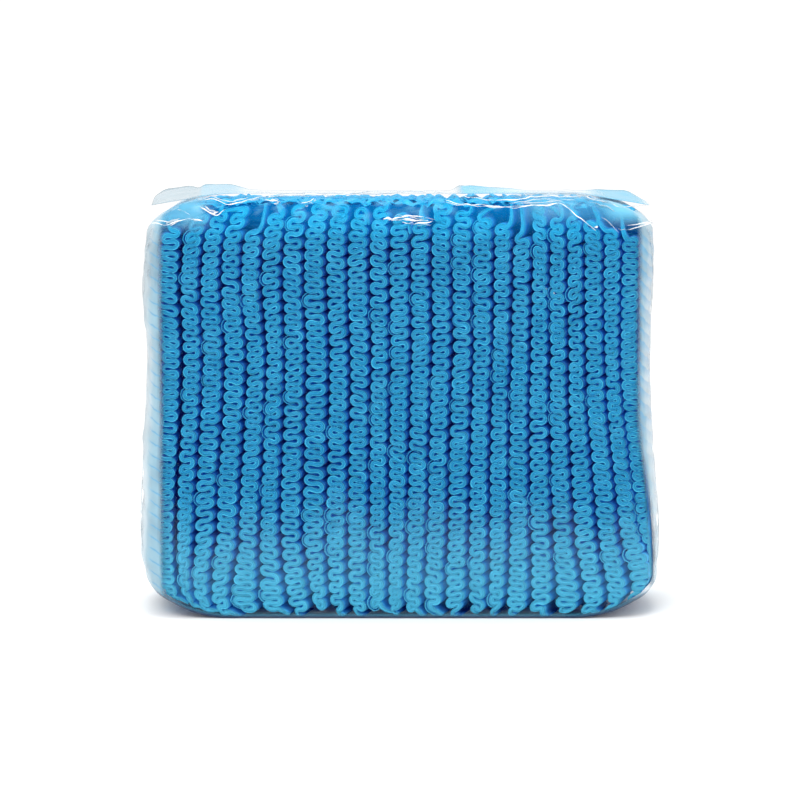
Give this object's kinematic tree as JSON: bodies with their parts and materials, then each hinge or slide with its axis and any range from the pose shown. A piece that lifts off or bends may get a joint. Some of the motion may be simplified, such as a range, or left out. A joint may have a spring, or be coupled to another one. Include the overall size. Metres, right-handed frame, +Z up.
{
  "type": "pack of disposable hairnets in a clear bag",
  "caption": "Clear film bag with soft corners and a folded seal on top, packed with upright columns of pleated nonwoven hairnets that their elastic has crimped into tall zigzags.",
  "frame": {"origin": "on the ground under the middle of the bag's bounding box", "axes": "+Z up, +X to the right of someone facing the bag's front, +Y from the front to the back"},
  "size_m": [0.24, 0.098, 0.1947],
  "materials": {
    "bag_film": "clear, glossy, slightly milky soft film",
    "hairnet_cloth": "matt light blue spunbond nonwoven"
  },
  "bodies": {
    "root": {"bag_film": "bag_film", "top_seal": "bag_film", "hairnets_01": "hairnet_cloth", "hairnets_02": "hairnet_cloth", "hairnets_03": "hairnet_cloth", "hairnets_04": "hairnet_cloth", "hairnets_05": "hairnet_cloth", "hairnets_06": "hairnet_cloth", "hairnets_07": "hairnet_cloth", "hairnets_08": "hairnet_cloth", "hairnets_09": "hairnet_cloth", "hairnets_10": "hairnet_cloth", "hairnets_11": "hairnet_cloth", "hairnets_12": "hairnet_cloth", "hairnets_13": "hairnet_cloth", "hairnets_14": "hairnet_cloth", "hairnets_15": "hairnet_cloth", "hairnets_16": "hairnet_cloth", "hairnets_17": "hairnet_cloth", "hairnets_18": "hairnet_cloth", "hairnets_19": "hairnet_cloth", "hairnets_20": "hairnet_cloth", "hairnets_21": "hairnet_cloth", "hairnets_22": "hairnet_cloth", "hairnets_23": "hairnet_cloth", "hairnets_24": "hairnet_cloth"}
  },
  "joints": []
}
